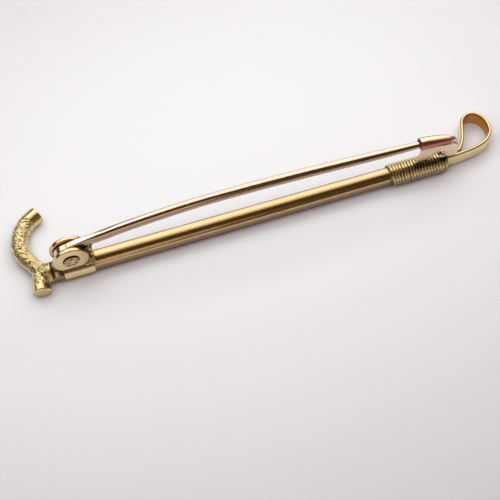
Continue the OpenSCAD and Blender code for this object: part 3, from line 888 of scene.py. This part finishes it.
def makeCatch(look):
    slope = math.radians(look["hollowSlope"])
    axis = np.array([math.cos(slope), 0, -math.sin(slope)])
    upAxis = np.array([math.sin(slope), 0, math.cos(slope)])
    points, faces = slab(look["outline"], 0, look["thick"], [0, 0, 0])
    sheet = (leaned(points, look), faces)
    rows = catmull(look["hood"], 6)
    radius = look["hoodRadius"] * rows[:, 2]
    line = np.column_stack([rows[:, 0], np.full(len(rows), look["hoodY"]), rows[:, 1]]) + spanEnd
    mouth = line[0]
    # the lip is eased a little, as filing leaves it
    lip = line[0] + headings(line)[0] * look["lip"]
    hoodLine = np.vstack([line[:1], [lip], line[1:]])  # two rings at the lip
    hoodRadius = np.concatenate([[radius[0] - look["lip"]], radius])
    hood = closedSweep(tubeRings(hoodLine, hoodRadius, hoodRadius, 1.0, 72))
    mouthRadius = look["hoodRadius"] - look["wall"]
    hollow = [[-2, 0.02], [-2, mouthRadius]]
    hollow += [[along, mouthRadius * share] for along, share in catmull(look["hollow"], 5)]
    hollow += [[look["hollow"][-1][0], 0.02]]
    binding = [[-3, 0.02], [-3, look["bindingRadius"]], [look["bindingEnd"], look["bindingRadius"]],
               [look["bindingEnd"], 0.02]]
    slot = []
    for along in (-2, look["slotLength"]):
        for y, up in ((look["slotY"], -2.1), (3, -2.1), (3, look["slotTop"]),
                      (look["slotY"], look["slotTop"])):
            slot.append(mouth + along * axis + [0, y, 0] + up * upAxis)
    under = []
    for x in (2, 6):
        for y, z in ((-2, -1), (2, -1), (2, look["stripTop"]), (-2, look["stripTop"])):
            under.append(spanEnd + [x, y, z])
    middle = look["thick"] / 2
    blobs = [solderBlob(leaned(np.array([[x, middle, z]]), look)[0], r) for x, z, r in look["solder"]]
    blobs += [solderBlob(spanEnd + spot[:3], spot[3]) for spot in look["noseSolder"]]
    work = combine([sheet, hood] + blobs)
    work = combine([
        closedSweep(latheRings(hollow, 96, mouth, axis)),
        closedSweep(np.array(slot).reshape(2, 4, 3)),
        closedSweep(latheRings(binding, 96, spanEnd, [1, 0, 0])),
        closedSweep(np.array(under).reshape(2, 4, 3)),
    ], "DIFFERENCE", work)
    mesh = remeshed(work, look["voxel"])
    relax(mesh, 3)
    points = meshPoints(mesh)
    x, y, z = (points - spanEnd).T
    lineZ = np.interp(x, rows[:, 0], rows[:, 1])
    localRadius = np.interp(x, rows[:, 0], radius)
    fromLine = np.hypot(y - look["hoodY"], (z - lineZ) * 0.97)
    inside = (fromLine < localRadius - look["wall"] * 0.45) * (z > 4.0) * (x < 3.6)
    foot = np.hypot(y, z) - look["bindingRadius"]
    # painted shade where the sheet's feet meet the binding
    dirtAndShade = 0.75 * fringe(np.clip(foot, 0, 9), 0, 0.1) * (x < 3.3)
    # painted shade inside the hood's hollow
    dirtAndShade += 0.9 * inside * ramp(x, -0.8, 0.3)
    # the solder along the arched window is dirty too
    dirtAndShade += 0.8 * stripe(x, 2.4, 0.35) * stripe(z, 2.15, 0.55)
    # painted reflection: the hood is left bright on top, painted dark brown behind and maroon down its
    # front
    turn = np.degrees(np.arctan2(look["hoodY"] - y, z - lineZ))
    low, high = look["leftLight"]
    onHood = (fromLine < localRadius + 0.08) & (z > 3.75) & (turn > -140) & (turn < 150)
    dirtAndShade += 0.75 * onHood * ramp(turn, low, -8)
    paintAttribute(mesh, "dirtAndShade", dirtAndShade)
    # painted shade on the sheet just below the hood
    belowHood = 0.1 * fringe(np.clip(lineZ - localRadius - z, 0, 9), 0, 0.5)
    maroon = 0.92 * ramp(turn, high, 8) * np.clip((3.75 - x) / 0.8, 0.3, 1)
    paintAttribute(mesh, "tarnishAndShade", np.where(onHood, maroon, belowHood))
    return finishPiece("hoodCatch", mesh, "catch", "crop", sheetGold)


makeCatch(catchLook)


# Lash loop

loopLook = {
    # middle line of the strip from above, as [x, y]
    "rows": [
        [3.0, 0.235], [3.71, 0.235], [4.78, 0.31], [5.46, 0.95], [6.03, 1.9], [6.44, 3.0], [6.9, 4.18],
        [7.61, 4.72], [8.46, 4.74], [9.16, 4.25], [9.61, 3.5], [9.74, 2.7], [9.61, 1.75], [9.01, 0.95],
        [8.16, 0.4], [7.21, 0.12], [6.31, -0.05], [5.41, -0.135], [4.41, -0.215], [3.61, -0.235],
        [3.0, -0.235],
    ],
    "thick": 0.42, "high": 2.1, "z": -0.05, "tailX": 0.15, "mouthX": 3.2, "tailHigh": 1.7,
    "edge": 0.19,  # the strip's corners are worn almost round
    "partX": 4.7, "innerPaintedReflection": 1.0,
}


def makeLoop(look):
    line = catmull(look["rows"], 12)
    tail = np.array([[look["tailX"], 0.225], [1.5, 0.225], [2.9, 0.23]])
    line = np.vstack([tail, line[1:-1], tail[::-1] * [1, -1]])
    half = np.where(line[:, 0] < look["mouthX"], look["tailHigh"] / 2, look["high"] / 2)
    path = np.column_stack([line, np.full(len(line), look["z"])]) + spanEnd
    ahead = headings(path)
    side = np.cross(ahead, [0, 0, 1])
    side /= np.linalg.norm(side, axis=1)[:, None]
    edge = look["edge"]
    section = []
    for cornerX, cornerZ, start in ((1, 1, 0), (-1, 1, 1), (-1, -1, 2), (1, -1, 3)):
        for t in np.linspace(0, math.pi / 2, 5):
            turn = start * math.pi / 2 + t
            section.append([cornerX * (look["thick"] / 2 - edge) + edge * math.cos(turn),
                            cornerZ, edge * math.sin(turn) - cornerZ * edge])
    section = np.array(section)
    z = section[None, :, 1] * half[:, None] + section[None, :, 2]
    rings = path[:, None] + section[None, :, :1] * side[:, None]
    rings[:, :, 2] += z
    mesh = meshFrom("loop", *closedSweep(rings))
    fixNormals(mesh)
    # painted shadow where the strip meets the binding, and painted orange-brown reflection on the strip's
    # inner face inside the loop
    point = np.tile(np.arange(len(rings[0])), len(line))
    place = np.repeat(np.arange(len(line)), len(rings[0]))
    within = (section[point, 0] > 0.15) & (line[place, 0] > look["partX"])
    x = meshPoints(mesh)[:, 0] - spanEnd[0]
    dirtAndShade = 0.7 * fringe(x, look["mouthX"], 0.15) + look["innerPaintedReflection"] * within
    paintAttribute(mesh, "dirtAndShade", dirtAndShade)
    # and the rim's two corners are painted dark, as painted reflection along the rounded corners
    across = np.abs(section[point, 0])
    paintAttribute(mesh, "tarnishAndShade", 0.85 * stripe(across, 0.15, 0.06) * (across < 0.205))
    return finishPiece("lashLoop", mesh, "loop", "crop", rolledStrip)


makeLoop(loopLook)


# Table, light and camera

stageLook = {
    "table": "#f6f2f3", "size": 1.6,
    # the first four show in the metal; the other two light the table
    "lamps": {
        "window": {"place": [0.24, 0.425, 0.425], "size": [0.92, 1.12], "radiance": 1.35,
                   "tint": "#fffcf4", "glossy": True, "diffuse": False},
        "skylight": {"place": [-0.3, 0.27, 0.42], "size": [0.44, 0.44], "radiance": 1.3,
                     "tint": "#fffaf0", "glossy": True, "diffuse": False},
        "wall": {"place": [-0.33, -0.535, 0.273], "size": [0.96, 0.6], "radiance": 0.52,
                 "tint": "#ffece0", "glossy": True, "diffuse": False},
        "side": {"place": [0.75, -0.05, 0.5], "size": [0.5, 0.5], "radiance": 0.6,
                 "tint": "#ffe0d4", "glossy": True, "diffuse": False},
        "sky": {"place": [-0.04, 0.04, 0.5], "size": [1.8, 1.8], "radiance": 0.262,
                "tint": "#fbefff", "glossy": False, "diffuse": True},
        "near": {"place": [-0.001, 0.011, 0.065], "size": [0.136, 0.08], "radiance": 1.92,
                 "tint": "#f5feff", "glossy": False, "diffuse": True},
    },
    "room": "#513a1d", "roomStrength": 0.85,
}


def makeStage(look):
    half = look["size"] / 2
    corners = [(-half, -half, 0), (half, -half, 0), (half, half, 0), (-half, half, 0)]
    mesh = meshFrom("table", corners, [(0, 1, 2, 3)])
    material = bpy.data.materials.new("mattTable")
    material.use_nodes = True
    tree = material.node_tree
    tree.nodes.clear()
    coords = addNode(tree, "ShaderNodeTexCoord")
    grain = addNode(tree, "ShaderNodeTexNoise", {"Scale": 90.0, "Detail": 3.0},
                    {"Vector": (coords, "Object")})
    rough = addNode(tree, "ShaderNodeMapRange", {"To Min": 0.75, "To Max": 0.9},
                    {"Value": (grain, "Fac")})
    shader = addNode(tree, "ShaderNodeBsdfPrincipled",
                     {"Base Color": hexToLinear(look["table"]), "Specular IOR Level": 0.2},
                     {"Roughness": (rough, 0)})
    addNode(tree, "ShaderNodeOutputMaterial", links={"Surface": (shader, "BSDF")})
    mesh.materials.append(material)
    table = bpy.data.objects.new("table", mesh)
    bpy.context.scene.collection.objects.link(table)
    for name, plan in look["lamps"].items():
        light = bpy.data.lights.new(name, "AREA")
        light.shape = "RECTANGLE"
        light.size, light.size_y = plan["size"]
        light.energy = plan["radiance"] * math.pi * light.size * light.size_y
        light.color = hexToLinear(plan["tint"])[:3]
        lamp = bpy.data.objects.new(name, light)
        lamp.location = plan["place"]
        lamp.rotation_euler = (-Vector(plan["place"])).to_track_quat("-Z", "Y").to_euler()
        lamp.visible_camera = False
        lamp.visible_glossy = plan["glossy"]
        lamp.visible_diffuse = plan["diffuse"]
        bpy.context.scene.collection.objects.link(lamp)
    world = bpy.data.worlds.new("room")
    world.use_nodes = True
    world.node_tree.nodes.clear()
    sky = addNode(world.node_tree, "ShaderNodeBackground",
                  {"Color": hexToLinear(look["room"]), "Strength": look["roomStrength"]})
    addNode(world.node_tree, "ShaderNodeOutputWorld", links={"Surface": (sky, 0)})
    bpy.context.scene.world = world
    bpy.context.scene.view_settings.view_transform = "Standard"
    print("table and", len(look["lamps"]), "lamps ready")


cameraLook = {
    "place": [-0.02784, -0.08219, 0.14484],
    "target": [-0.003077, -0.007145, 0.0],
    "lens": 100.34,
}


def makeCamera(look):
    data = bpy.data.cameras.new("camera")
    data.lens = look["lens"]
    data.sensor_width = 36
    data.clip_start = 0.001
    camera = bpy.data.objects.new("camera", data)
    camera.location = look["place"]
    direction = Vector(look["target"]) - Vector(look["place"])
    camera.rotation_euler = direction.to_track_quat("-Z", "Y").to_euler()
    bpy.context.scene.collection.objects.link(camera)
    bpy.context.scene.camera = camera
    print("camera ready")


makeStage(stageLook)
makeCamera(cameraLook)
